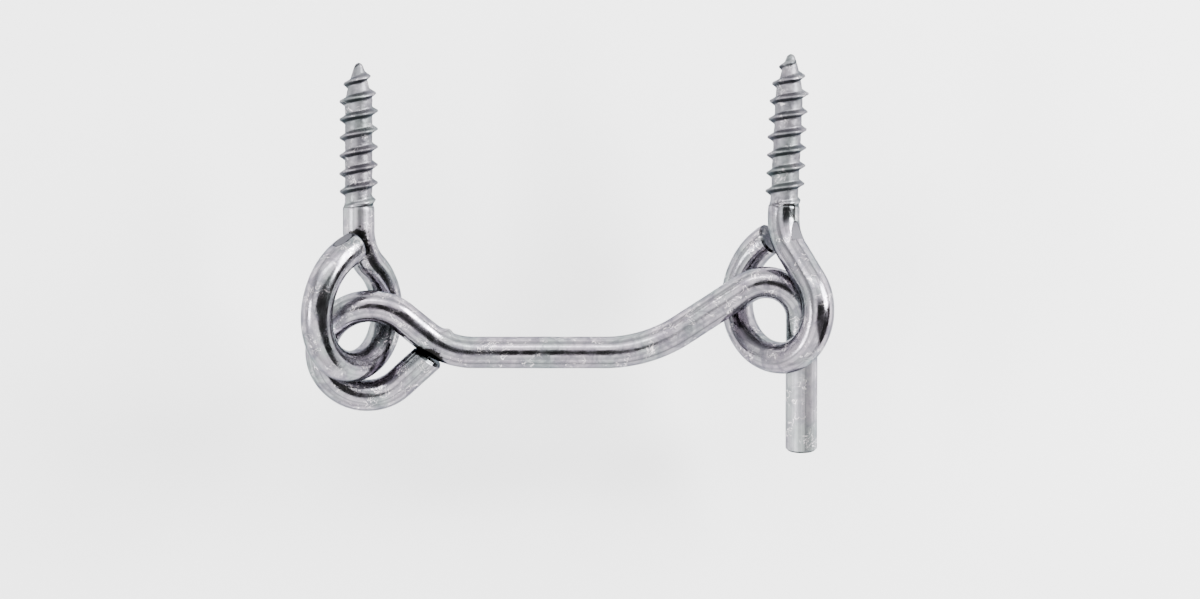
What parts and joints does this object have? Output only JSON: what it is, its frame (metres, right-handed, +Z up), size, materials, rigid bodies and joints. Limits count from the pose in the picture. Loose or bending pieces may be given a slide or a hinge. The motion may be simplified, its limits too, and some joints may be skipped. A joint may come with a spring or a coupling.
{
  "type": "hook and eye latch",
  "caption": "Hook and eye latch of bent round wire: a hook with a closed loop, linked to a screw eye at each end.",
  "frame": {"origin": "on the hinge eye's screw axis, where its thread ends and the plain wire begins", "axes": "+Y along the hinge eye's screw towards its point, +X along the hook's arm towards its nose, +Z up from the face that the latch lies on"},
  "size_m": [0.083, 0.0623, 0.0199],
  "materials": {
    "hinge_eye_wire": "bright zinc plated steel wire, mottled",
    "hook_wire": "bright zinc plated steel wire, mottled",
    "catch_eye_wire": "bright zinc plated steel wire, mottled"
  },
  "bodies": {
    "hinge_eye": {"hinge_screw_eye": "hinge_eye_wire"},
    "hook": {"wire_hook": "hook_wire"},
    "catch_eye": {"catch_screw_eye": "catch_eye_wire"}
  },
  "joints": [
    {"name": "hook_swing", "type": "hinge", "parent": "hinge_eye", "child": "hook", "pos_m": [0.00137, -0.0224, -0.00128], "axis": [0, -0.2588, 0.9659], "range_deg": [-180, 45]},
    {"name": "catch_eye_swing", "type": "hinge", "parent": "hook", "child": "catch_eye", "pos_m": [0.0612, -0.02165, -0.00108], "axis": [0, -0.2588, 0.9659], "range_deg": [-90, 45]}
  ]
}
